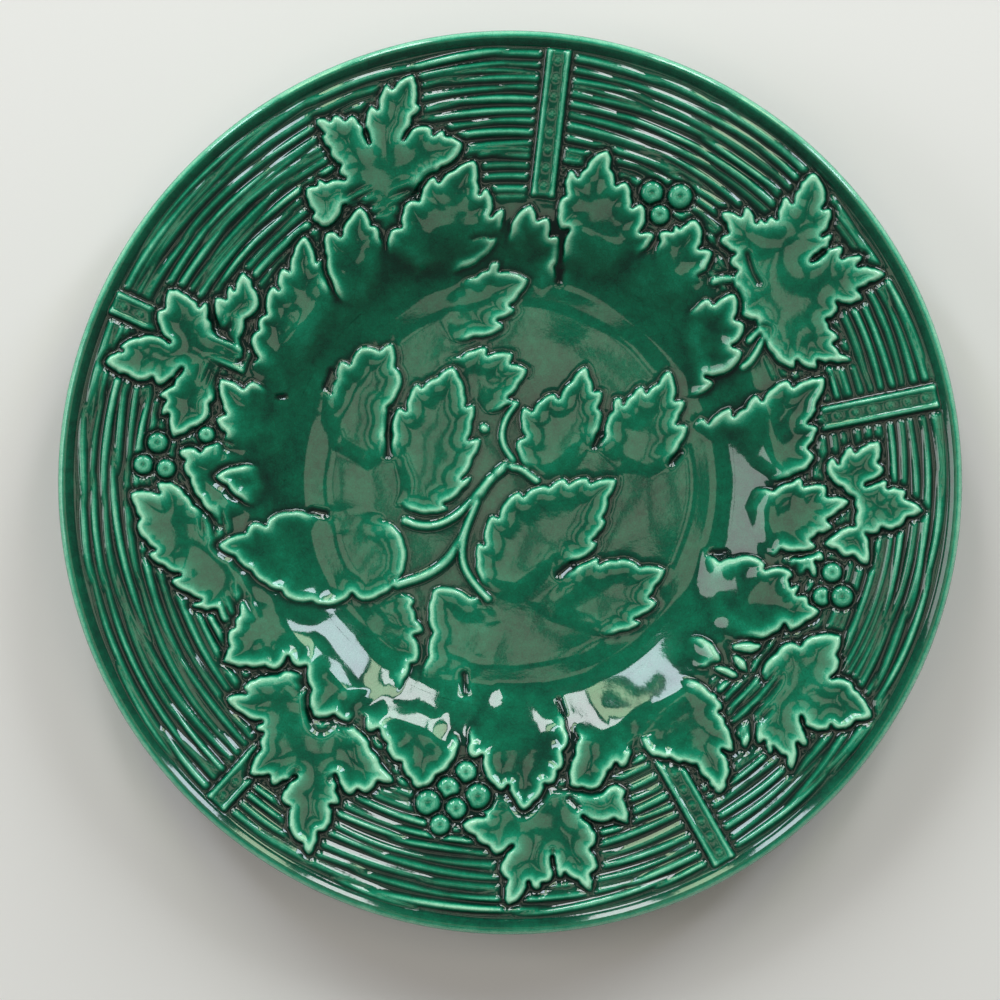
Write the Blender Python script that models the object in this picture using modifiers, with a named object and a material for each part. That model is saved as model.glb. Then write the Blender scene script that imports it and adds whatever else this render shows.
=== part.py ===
"""Round press-moulded earthenware plate with a vine-leaf and wicker relief, in metres, +Z up."""

import math

import bmesh
import bpy
import mathutils

for old in list(bpy.data.objects):
    bpy.data.objects.remove(old, do_unlink=True)

MM = 0.001
SEGMENTS = 64
RADIUS = 112.5
LIP_TOP = 24.0
FOOT_OUTER = 56.5
FOOT_INNER = 51.5
WICKER_FROM = 73.0
WICKER_TO = 106.0
WICKER_ROWS = 10
WICKER_DEPTH = 0.7
STRAPS = 5
STRAP_FIRST_DEG = 11.5
STRAP_HALF_WIDTH = 3.1
STRAP_FROM = 71.0
STRAP_TO = 107.8
EMBED = 1.6

# Upper surface of the plate, plain, as radius and height in millimetres.
FACE = [
    (0.0, 5.6),
    (20.0, 5.7),
    (36.0, 5.9),
    (46.0, 6.3),
    (52.0, 7.4),
    (56.5, 9.3),
    (60.0, 11.6),
    (63.0, 13.6),
    (66.0, 15.0),
    (70.0, 16.0),
    (73.0, 16.6),
    (106.0, 21.9),
    (108.6, 22.3),
]

# Leaf outlines seen from above, in millimetres from the centre: name, lift, corners in order.
RIM_LEAVES = [
    ("top_left", 2.0, [
        (-24, 62), (-19, 72), (-14, 80.5), (-11.5, 85.5), (-17, 88), (-20, 89), (-26.5, 85.5),
        (-23, 93), (-24.5, 101.5), (-30.5, 99), (-34.5, 94), (-35.5, 85), (-39.5, 91.5),
        (-48.5, 90.5), (-44.5, 82), (-42, 77), (-51, 74), (-50, 66), (-46, 63.5), (-36, 64)]),
    ("top_right", 2.0, [
        (63, 37), (65, 32), (70.5, 28.5), (77, 28), (85, 31), (78, 39), (81, 43.5), (87, 45.5),
        (92.5, 51.5), (87, 56.5), (82, 58.5), (76, 56), (80, 62), (79.5, 67.5), (75.5, 76.5),
        (68.5, 71), (66.5, 65.5), (59, 69), (53, 67), (53, 61), (61, 49)]),
    ("left", 2.0, [
        (-67, 34), (-73.5, 38.5), (-76, 45.5), (-85, 48), (-85, 36), (-95, 35.5), (-100.5, 30),
        (-92, 27), (-82, 28), (-87.5, 22), (-87, 18), (-84, 11.5), (-75, 15), (-71, 23)]),
    ("bottom_left", 2.0, [
        (-44, -52), (-58, -50), (-66, -51), (-71, -53.5), (-65, -62), (-60, -75), (-54, -72),
        (-57, -79), (-54.5, -87), (-50, -92), (-46, -86), (-43, -79), (-40, -78), (-36, -77.5),
        (-29, -75), (-38, -66)]),
    ("bottom", 2.0, [
        (4, -80), (-7, -82), (-12, -86), (-5, -92), (-0.5, -105), (8, -97), (10, -92), (12, -97),
        (20, -101.5), (21.5, -95), (21, -89), (29, -84.5), (29, -79), (18, -78), (12, -74)]),
    ("bottom_right", 2.0, [
        (60, -48), (68, -44), (76, -37.5), (82, -38), (84, -48), (90, -58.5), (82, -62),
        (73.5, -66), (70.5, -72), (66, -66), (59, -66), (55, -56)]),
    ("right", 2.0, [
        (76, -5), (77, 1), (80.5, 6.5), (85, 9), (91.5, 10.5), (93, 3), (94, 0.5), (99, -2.5),
        (102.5, -7), (95.5, -11.5), (91.5, -12.5), (88, -11), (89, -20.5), (84, -18), (79, -15.5)]),
]
WREATH_LOW = [
    ("wreath_1", 1.3, [(-46, 44), (-44.5, 62.5), (-37.5, 68.5), (-33.5, 64), (-27, 58), (-33, 47)]),
    ("wreath_2", 1.3, [(-8, 56), (-1, 58), (0.5, 65), (5, 69.5), (9.5, 66), (12, 61), (10, 54)]),
    ("wreath_3", 1.3, [(36, 47), (38, 62), (46.5, 65.5), (50.5, 57.5), (52, 46), (45, 42)]),
    ("wreath_4", 1.3, [(60, 2), (62, -12), (76, -17), (80.5, -11.5), (85, -4.5), (79, -1), (70, 3)]),
    ("wreath_5", 1.3, [(31, -56), (38, -68), (44, -70), (52.5, -77.5), (55, -66), (56, -60), (46, -48)]),
    ("wreath_6", 1.3, [(-12, -55), (-14, -65), (-22, -77), (-27, -70), (-31, -62), (-24, -50)]),
    ("wreath_7", 1.3, [(-52, -32), (-70, -38), (-71, -44), (-62, -46.5), (-54, -54), (-44, -46)]),
    ("wreath_8", 1.3, [(-58, 4), (-68, -3), (-78, -3), (-81.5, 2.5), (-83, 8), (-71, 9), (-60, 12)]),
]
WREATH_HIGH = [
    ("wreath_11", 2.0, [
        (-56, 24), (-65, 31), (-63.5, 38), (-61.5, 44), (-57, 53.5), (-51.5, 61.5), (-47, 56),
        (-42, 46), (-50, 34)]),
    ("wreath_12", 2.0, [
        (-22, 52), (-29, 63), (-24.5, 70.5), (-19, 76.5), (-9, 80.5), (-5.5, 73.5), (-1.5, 68.5),
        (-5, 56), (-12, 50)]),
    ("wreath_13", 2.0, [
        (14, 50), (12, 66), (15.5, 78), (24, 82.5), (29.5, 74.5), (36, 62.5), (34, 51), (24, 46)]),
    ("wreath_14", 2.0, [
        (45.5, 22), (51, 26.5), (58, 32.5), (58.5, 39.5), (49.5, 46), (56, 49), (62, 40), (60, 28)]),
    ("wreath_15", 2.0, [
        (54, 2), (48, 15), (55.5, 18.5), (62, 21.5), (69, 25), (78.5, 26), (76.5, 14), (75.5, 6),
        (68, 1)]),
    ("wreath_16", 2.0, [
        (50, -14), (52.5, -24), (64, -38), (70, -37), (77, -32.5), (76, -24), (71, -23), (64, -19)]),
    ("wreath_17", 2.0, [(14, -54), (16, -66), (22.5, -76), (28, -71), (32, -64), (30, -52)]),
    ("wreath_18", 2.0, [
        (-8, -50), (-10.5, -68), (-2.5, -77), (3.5, -82), (9, -78), (14.5, -65), (12, -50)]),
    ("wreath_19", 2.0, [
        (-58, -16), (-81, -2), (-86, 0), (-94.5, -2.5), (-92.5, -10), (-90, -17.5), (-83.5, -24.5),
        (-78, -30), (-72, -35), (-60, -28)]),
    ("wreath_20", 2.0, [(-56, 8), (-58, 20), (-66, 24), (-72.5, 25.5), (-73.5, 15.5), (-71, 10)]),
]
WELL_LEAVES = [
    ("well_1", 1.4, [
        (-14.5, 29.5), (-23, 25), (-28.5, 19), (-29.5, 5), (-26, -5), (-20, -7), (-14, -4),
        (-10, 1.5), (-7.5, 11), (-9.5, 19.5)]),
    ("well_2", 1.0, [
        (-31, 8), (-33, 18), (-46, 23), (-43, 30), (-38, 34), (-30, 35), (-28.5, 22), (-27, 12)]),
    ("well_3", 1.0, [(-12, 28), (-15, 33), (-6, 33), (0.5, 32), (4, 29), (0, 20), (-7, 19)]),
    ("well_4", 1.0, [(-20, 38), (-14, 52), (-3, 55.5), (1, 50), (4.5, 51.5), (2, 44), (-8, 37)]),
    ("well_5", 1.4, [
        (6.5, 1), (2, 10.5), (3.5, 19.5), (11, 22.5), (19.5, 30), (23, 23), (21, 9), (14, 3)]),
    ("well_6", 1.0, [
        (22, 6), (22.5, 16), (27, 21.5), (33, 24.5), (40.5, 28.5), (44.5, 21), (45, 14.5), (41, 6),
        (30, 1)]),
    ("well_7", 1.4, [
        (-5, -27), (-8.5, -20), (-4, -8), (3, -2), (14, 0.5), (27, 0.5), (24, -9), (20, -16),
        (10, -22), (4, -27)]),
    ("well_8", 1.0, [(8, -24), (19, -19.5), (30, -20.5), (39.5, -22.5), (33, -35), (20, -40), (8, -34)]),
    ("well_9", 1.4, [
        (-27, -14), (-32, -8), (-48, -9), (-60, -8), (-66, -10.5), (-73, -15.5), (-63, -22),
        (-56, -27), (-45, -29), (-30, -25), (-26.5, -20)]),
    ("well_10", 1.0, [(-29, -27), (-40, -34), (-36, -48), (-28, -52), (-25, -45), (-23, -36)]),
]
STEMS = [
    [(0.5, 7), (-8, -4), (-10, -11)],
    [(-9, -10), (-20, -11.5), (-28, -9.5)],
    [(-10, -11), (-18, -20), (-28, -26)],
    [(-10, -10), (-12, -19), (-6, -29)],
    [(0, 6), (-1.8, 13), (1, 20)],
    [(-1, 6), (4, 4.5), (8, 2)],
]
STEM_HALF_WIDTH = 1.1
BERRIES = [
    (35.5, 72.5, 3.0), (42.5, 71.5, 3.2), (37.5, 67.0, 2.6),
    (-88.0, 10.0, 2.7), (-91.5, 4.5, 2.6), (-86.0, 3.5, 2.5), (-76.0, 12.0, 2.2),
    (80.5, -22.5, 2.6), (78.0, -28.5, 2.5), (83.0, -28.5, 2.9),
    (-11.0, -72.5, 2.8), (-15.5, -76.5, 3.0), (-20.5, -80.0, 3.2), (-8.0, -78.5, 3.2),
    (-13.5, -81.5, 2.8), (-17.5, -85.5, 2.7),
]


def face_height(radius):
    """Height of the plain upper surface at a radius, in millimetres."""
    for (r0, z0), (r1, z1) in zip(FACE, FACE[1:]):
        if radius <= r1:
            return z0 + (z1 - z0) * (radius - r0) / (r1 - r0)
    return FACE[-1][1]


def collection_of(name, helper):
    made = bpy.data.collections.new(name)
    bpy.context.scene.collection.children.link(made)
    made.hide_render = helper
    return made


def glaze_material():
    material = bpy.data.materials.new("green_glaze")
    material.use_nodes = True
    shader = material.node_tree.nodes["Principled BSDF"]
    shader.inputs["Base Color"].default_value = (0.01, 0.16, 0.08, 1.0)
    shader.inputs["Roughness"].default_value = 0.12
    return material


def turned(name, profile, collection):
    """A closed solid turned about Z from a profile of radius and height, top centre to bottom centre."""
    shape = bmesh.new()
    points = [shape.verts.new((r * MM, 0.0, z * MM)) for r, z in profile]
    for a, b in zip(points, points[1:]):
        shape.edges.new((a, b))
    mesh = bpy.data.meshes.new(name)
    shape.to_mesh(mesh)
    shape.free()
    obj = bpy.data.objects.new(name, mesh)
    collection.objects.link(obj)
    screw = obj.modifiers.new("turn", "SCREW")
    screw.steps = SEGMENTS
    screw.render_steps = SEGMENTS
    screw.use_merge_vertices = True
    screw.merge_threshold = 0.00005
    screw.use_smooth_shade = False
    return obj


def wicker_rows():
    """The ridged profile of the woven band, from inside to outside."""
    pitch = (WICKER_TO - WICKER_FROM) / WICKER_ROWS
    points = []
    for row in range(WICKER_ROWS):
        start = WICKER_FROM + row * pitch
        points.append((start, face_height(start) - WICKER_DEPTH))
        points.append((start + 0.5 * pitch, face_height(start + 0.5 * pitch)))
    points.append((WICKER_TO, face_height(WICKER_TO) - WICKER_DEPTH))
    return points


def plate_body(collection):
    """Plate turned in one: well, shoulder, ridged rim, rolled lip, underside and foot ring."""
    well = [(r, z) for r, z in FACE if r < WICKER_FROM]
    lip = [(108.6, 22.3), (109.4, 23.5), (110.6, LIP_TOP), (111.9, 23.6), (RADIUS, 22.4), (112.0, 21.0)]
    under = [
        (110.0, 20.0),
        (104.0, 18.0),
        (72.0, 12.0),
        (66.0, 9.8),
        (61.0, 6.0),
        (57.6, 3.0),
        (FOOT_OUTER, 0.6),
        (FOOT_OUTER - 0.6, 0.0),
        (FOOT_INNER + 0.6, 0.0),
        (FOOT_INNER, 0.6),
        (50.6, 1.9),
        (0.0, 1.6),
    ]
    return turned("plate", well + wicker_rows() + lip + under, collection)


def raised_skin(name, lift, reach, collection):
    """A slice that follows the face, from a little inside it to lift above it."""
    radii = [r for r, _ in FACE if r < reach] + [reach]
    top = [(r, face_height(r) + lift) for r in radii]
    bottom = [(r, face_height(r) - EMBED) for r in reversed(radii)]
    return turned(name, top + bottom, collection)


def add_prism(shape, corners, low, high):
    """A standing prism on a plan outline, given in millimetres either way round."""
    area = sum(a[0] * b[1] - b[0] * a[1] for a, b in zip(corners, corners[1:] + corners[:1]))
    ordered = corners if area > 0 else corners[::-1]
    base = [shape.verts.new((x * MM, y * MM, low * MM)) for x, y in ordered]
    foot = shape.faces.new(base)
    foot.normal_flip()
    grown = bmesh.ops.extrude_face_region(shape, geom=[foot], use_keep_orig=True)
    top = [item for item in grown["geom"] if isinstance(item, bmesh.types.BMVert)]
    bmesh.ops.translate(shape, verts=top, vec=(0.0, 0.0, (high - low) * MM))
    bmesh.ops.recalc_face_normals(shape, faces=shape.faces)


def prism_object(name, outlines, collection):
    shape = bmesh.new()
    for corners in outlines:
        one = bmesh.new()
        add_prism(one, corners, -5.0, 40.0)
        bmesh.ops.triangulate(one, faces=one.faces)
        scratch = bpy.data.meshes.new(name + "_one")
        one.to_mesh(scratch)
        one.free()
        shape.from_mesh(scratch)
        bpy.data.meshes.remove(scratch)
    mesh = bpy.data.meshes.new(name)
    shape.to_mesh(mesh)
    shape.free()
    obj = bpy.data.objects.new(name, mesh)
    collection.objects.link(obj)
    return obj


def turned_outline(corners, degrees):
    c = math.cos(math.radians(degrees))
    s = math.sin(math.radians(degrees))
    return [(x * c - y * s, x * s + y * c) for x, y in corners]


def strap_outlines(inner, outer, left, right):
    bar = [(inner, left), (outer, left), (outer, right), (inner, right)]
    return [turned_outline(bar, STRAP_FIRST_DEG + 72.0 * n) for n in range(STRAPS)]


def stem_outlines():
    """Each stem as one bar with its bend, so that a stem is a single closed outline."""
    outlines = []
    for path in STEMS:
        left = []
        right = []
        for n, (x, y) in enumerate(path):
            a = path[max(n - 1, 0)]
            b = path[min(n + 1, len(path) - 1)]
            length = math.hypot(b[0] - a[0], b[1] - a[1])
            nx = -(b[1] - a[1]) / length * STEM_HALF_WIDTH
            ny = (b[0] - a[0]) / length * STEM_HALF_WIDTH
            left.append((x + nx, y + ny))
            right.append((x - nx, y - ny))
        outlines.append(left + right[::-1])
    return outlines


def boolean(obj, other, operation):
    step = obj.modifiers.new(operation.lower() + "_" + other.name, "BOOLEAN")
    step.operation = operation
    step.solver = "EXACT"
    step.use_self = True
    step.object = other
    other.hide_render = True
    other.display_type = "WIRE"


def berry_object(collection):
    """The low round berries of the grape clusters, sunk to half into the face."""
    shape = bmesh.new()
    for n, (x, y, radius) in enumerate(BERRIES):
        made = bmesh.ops.create_icosphere(shape, subdivisions=2, radius=radius * MM)
        height = face_height(math.hypot(x, y)) - 0.6
        bmesh.ops.rotate(shape, verts=made["verts"], matrix=turn_about_z(0.37 * n))
        bmesh.ops.translate(shape, verts=made["verts"], vec=(x * MM, y * MM, height * MM))
    mesh = bpy.data.meshes.new("berries")
    shape.to_mesh(mesh)
    shape.free()
    obj = bpy.data.objects.new("berries", mesh)
    collection.objects.link(obj)
    return obj


def turn_about_z(angle):
    c = math.cos(angle)
    s = math.sin(angle)
    return mathutils.Matrix(((c, -s, 0.0), (s, c, 0.0), (0.0, 0.0, 1.0)))


def build():
    shown = collection_of("vine_leaf_plate", helper=False)
    helpers = collection_of("vine_leaf_plate_helpers", helper=True)
    plate = plate_body(shown)
    plate.data.materials.append(glaze_material())
    layers = [
        ("straps", 1.5, strap_outlines(STRAP_FROM, STRAP_TO, -STRAP_HALF_WIDTH, STRAP_HALF_WIDTH)),
        ("stems", 1.1, stem_outlines()),
        ("well_low", 0.9, [outline for _, lift, outline in WELL_LEAVES if lift < 1.2]),
        ("well_high", 1.35, [outline for _, lift, outline in WELL_LEAVES if lift > 1.2]),
        ("wreath_low", 1.25, [outline for _, _, outline in WREATH_LOW]),
        ("wreath_high", 1.75, [outline for _, _, outline in WREATH_HIGH]),
        ("rim_leaves", 2.15, [outline for _, _, outline in RIM_LEAVES]),
    ]
    for name, lift, outlines in layers:
        skin = raised_skin(name, lift, 108.3, helpers)
        mask = prism_object(name + "_mask", outlines, helpers)
        boolean(skin, mask, "INTERSECT")
        boolean(plate, skin, "UNION")
    boolean(plate, berry_object(helpers), "UNION")
    seams = plate.modifiers.new("clean_seams", "WELD")
    seams.merge_threshold = 0.00003


build()
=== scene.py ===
"""Looks of the vine-leaf plate: moulded relief under a deep green gloss glaze."""

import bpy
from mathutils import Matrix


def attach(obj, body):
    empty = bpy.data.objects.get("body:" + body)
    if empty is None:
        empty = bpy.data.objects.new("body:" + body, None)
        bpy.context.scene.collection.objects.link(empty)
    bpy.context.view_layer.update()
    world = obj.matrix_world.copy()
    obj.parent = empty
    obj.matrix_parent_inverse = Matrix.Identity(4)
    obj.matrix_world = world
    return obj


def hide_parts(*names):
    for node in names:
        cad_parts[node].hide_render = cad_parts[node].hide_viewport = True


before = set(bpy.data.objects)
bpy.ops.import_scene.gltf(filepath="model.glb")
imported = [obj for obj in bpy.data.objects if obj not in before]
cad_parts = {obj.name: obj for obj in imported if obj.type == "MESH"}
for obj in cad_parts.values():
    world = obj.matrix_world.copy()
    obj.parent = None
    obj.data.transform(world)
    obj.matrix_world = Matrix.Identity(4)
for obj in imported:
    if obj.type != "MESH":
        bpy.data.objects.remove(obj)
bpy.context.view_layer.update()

import math

import bmesh
import bpy
import numpy as np
from mathutils import Vector

MM = 0.001
PITCH = 0.25  # spacing of the relief map, in millimetres
REACH = 114.0
SIDE = int(2 * REACH / PITCH)
axis_mm = (np.arange(SIDE) + 0.5) * PITCH - REACH
map_x, map_y = np.meshgrid(axis_mm, axis_mm)  # row is y, column is x
map_r = np.hypot(map_x, map_y)
map_a = np.arctan2(map_y, map_x)

# ---------------------------------------------------------------- the plain plate

FACE = [  # radius and height of the glazed face without its relief
    (0.0, 5.6), (20.0, 5.7), (36.0, 5.9), (46.0, 6.3), (52.0, 7.4), (56.5, 9.3), (60.0, 11.6),
    (63.0, 13.6), (66.0, 15.0), (70.0, 16.0), (74.0, 16.7), (90.0, 19.3), (104.0, 21.5),
    (107.0, 22.0), (108.8, 22.4), (109.6, 23.2), (110.7, 23.95), (111.8, 23.6), (112.5, 22.4),
]


def face_height(radius):
    """Height of the plain face, with its kinks rounded."""
    total = 0.0
    radii = [p[0] for p in FACE]
    heights = [p[1] for p in FACE]
    for shift in (-1.2, -0.6, 0.0, 0.6, 1.2):
        reach = np.where(np.asarray(radius) < 105.0, 1.0, 0.15)
        total = total + np.interp(np.abs(radius + shift * reach), radii, heights)
    return total / 5.0


def smooth(t):
    t = np.clip(t, 0.0, 1.0)
    return t * t * (3.0 - 2.0 * t)


def softened(field, sigma):
    """The field with everything finer than sigma millimetres levelled out."""
    rows = np.fft.fftfreq(field.shape[0], PITCH)
    columns = np.fft.rfftfreq(field.shape[1], PITCH)
    keep = np.exp(-2.0 * (math.pi * sigma) ** 2 * (rows[:, None] ** 2 + columns[None, :] ** 2))
    return np.fft.irfft2(np.fft.rfft2(field) * keep, s=field.shape)


def cloudy(sigma, seed):
    """Even, seeded cloudiness of unit strength."""
    field = softened(np.random.default_rng(seed).standard_normal(map_r.shape), sigma)
    return field / field.std()


# ---------------------------------------------------------------- leaf outlines, in millimetres

# Each leaf is its sharp toothed edge, then the soft line that closes it where it melts into the face.

RIM_LEAVES = [
    ([
        (-25.5, 71.5), (-22.5, 74.5), (-20, 76.5), (-17, 78.6), (-13.8, 80.5), (-11.5, 84.8), (-16, 86.6),
        (-16.4, 88.1), (-19, 87), (-20, 89), (-24, 88.8), (-26.6, 85.7), (-24.2, 91), (-22.2, 93.4),
        (-23.1, 94.6), (-24.1, 101.8), (-29.4, 98.2), (-31, 99.2), (-33, 93), (-34.8, 94.1), (-36.3, 88),
        (-35.1, 84.8), (-37.4, 89.8), (-39.4, 91.7), (-41, 90.4), (-43.6, 91.7), (-44.8, 90.2),
        (-48.6, 90.7), (-46.4, 86.8), (-47.3, 86.4), (-45, 83), (-44.9, 81.6), (-42.4, 79.2),
        (-42.9, 77.6), (-41.2, 75.8), (-46, 74.9), (-48, 75.9), (-48.3, 74.3), (-51.2, 73.4),
        (-49.2, 67.4), (-49.8, 66.2), (-45.6, 63.4), (-41.5, 69.2), (-37.5, 70.2)],
        [(-35, 64), (-31, 61), (-26, 64)]),
    ([
        (63.5, 35.5), (61.5, 40.5), (57.5, 42), (57, 47), (55.5, 50.5), (56.6, 53), (54.7, 55),
        (56, 57.2), (54, 58.6), (52.2, 60.6), (54.4, 62.4), (53.9, 64.6), (52.6, 67.8), (57.6, 66.6),
        (59.2, 69.2), (61.5, 65), (62.8, 66.2), (63.6, 65.2), (65, 66.6), (66.4, 65.8), (67, 68.6),
        (68.7, 71.6), (70.2, 69.8), (71.6, 73.2), (75.4, 77.3), (77, 76), (78.7, 70), (77.9, 68.2),
        (80.1, 68.2), (79.6, 64), (77.6, 61.4), (80.4, 62), (78.4, 57.4), (75.1, 55.2), (80, 58.6),
        (82.9, 58.9), (82.6, 56), (87.9, 56.5), (86.6, 53.9), (90, 53.6), (93.4, 51.7), (89.5, 49.4),
        (86.6, 48), (87.9, 45.6), (84.5, 44.3), (81.6, 44.9), (82, 42.7), (79.2, 40.6), (80, 38.6),
        (82.2, 36), (80.8, 34.6), (82.6, 32.4), (85.3, 30.4), (80, 30.1), (76.9, 30.2), (76.6, 28.2),
        (74, 28.8), (71.8, 30.2), (71, 28.4), (68, 29.6), (65.8, 32)], []),
    ([
        (-71, 37), (-73.4, 38.2), (-75.1, 41), (-75.8, 45.4), (-77.5, 44), (-79.5, 46.2), (-85, 48.4),
        (-86.2, 43.6), (-88, 42.4), (-87.6, 39), (-84.9, 35.1), (-89, 37), (-92, 36.4), (-94.5, 35.9),
        (-97.3, 33.7), (-96.4, 32.8), (-98.6, 32.2), (-101, 30), (-95, 26.4), (-92.5, 25.1),
        (-89.2, 26), (-88, 24.1), (-84.6, 25.6), (-81.9, 28.4), (-84.2, 24.4), (-87.7, 21.8),
        (-86.1, 20.4), (-87.3, 16.8), (-85.4, 16.9), (-84.3, 11.2), (-79.5, 13.4), (-75.6, 15.8),
        (-75, 19.5), (-73.2, 22.4), (-73.8, 27)], [(-68, 28), (-66.5, 33)]),
    ([
        (-67.2, 31), (-67.6, 36), (-66, 40.5), (-62.4, 44.4), (-64, 49), (-66.6, 52.7), (-69, 48.2),
        (-70.1, 49.5), (-71, 46), (-73.6, 46.4), (-74, 43), (-72.2, 37.5)], [(-71, 31)]),
    ([
        (-41.5, -59), (-38, -62), (-34.5, -67), (-32, -71), (-28.9, -75.2), (-33, -74.8),
        (-35.8, -77.8), (-38, -76.9), (-40.2, -78.2), (-42.2, -76.2), (-43.6, -73), (-43.2, -77),
        (-42.5, -80.3), (-44.7, -80.6), (-44.4, -84.4), (-46.2, -86.9), (-47.6, -87.2), (-50, -93.2),
        (-51.8, -90), (-54.6, -87.6), (-55, -81), (-57.4, -79), (-56, -76), (-53.4, -73.4),
        (-56.5, -74.6), (-59.2, -75.8), (-60.2, -73.2), (-65, -72.8), (-62.3, -66.5), (-61.8, -62.6),
        (-63.8, -61.6), (-62, -59.8), (-67, -58), (-71.2, -53.8), (-66, -52.6), (-66.9, -50.8),
        (-60, -48), (-54, -47), (-50.5, -50)], [(-47, -53)]),
    ([
        (-4, -78.5), (-5.2, -81), (-8.4, -81.9), (-6.4, -83.2), (-12.4, -85.3), (-9, -88.4),
        (-5.5, -91), (-3.4, -93), (0.6, -90.6), (-1.4, -93.2), (-2.7, -96.6), (-0.9, -99),
        (-0.9, -105.5), (2.6, -103.6), (4.6, -99.6), (6.8, -101.9), (8, -100), (10.5, -99.4),
        (10.5, -93.5), (11.4, -97), (12.6, -99), (13.6, -97.4), (17, -99.4), (20.2, -102),
        (20.3, -97.6), (22, -95.8), (20.2, -91.4), (21.8, -89.4), (20.6, -86), (18.2, -83.4),
        (22, -85), (26, -84), (29.6, -85.2), (28.6, -79), (29, -77), (26.5, -75.2), (22.8, -77.2),
        (18, -77), (14.5, -75)], [(9, -73), (2, -74)]),
    ([
        (64, -50), (63, -46), (66.5, -42.5), (69.5, -39.8), (72.5, -40.5), (75, -38.2), (82.8, -38.2),
        (81.6, -43), (82.2, -46.4), (80, -48.6), (84.8, -49.4), (86, -51.5), (88, -53.5),
        (90.2, -58.3), (86, -59.6), (82, -61.8), (80, -60.6), (79, -62), (73.2, -60.6), (72.6, -58.4),
        (73.2, -61.5), (74.2, -65.9), (71.6, -65), (70.3, -72.3), (68.6, -68.4), (65.6, -66),
        (65.2, -68.2), (63.4, -64.6), (62, -65.4), (61, -61.5), (61.5, -57)], [(60, -54)]),
    ([
        (83, -1.5), (79.8, 1), (79, 4.4), (80.5, 6.6), (82, 4.8), (83.2, 7.4), (85.1, 9.4),
        (86.2, 7.8), (91.9, 10.6), (92.6, 7), (92, 5), (93.5, 3.1), (91.5, 0.6), (88.8, -0.6),
        (92, 0.4), (94.3, 0.7), (94.2, -1.2), (98.9, -2), (98.4, -3.8), (103.1, -7), (99, -9),
        (95.6, -12), (92.6, -11.4), (91.4, -13.1), (88.9, -12.8), (89.8, -16), (89.5, -20.9),
        (85.6, -18.4), (83.4, -18.8), (81.6, -16.9), (78.3, -15.6), (81, -12.8), (86, -10.6),
        (86.4, -7), (85.6, -4)], []),
]

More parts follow.
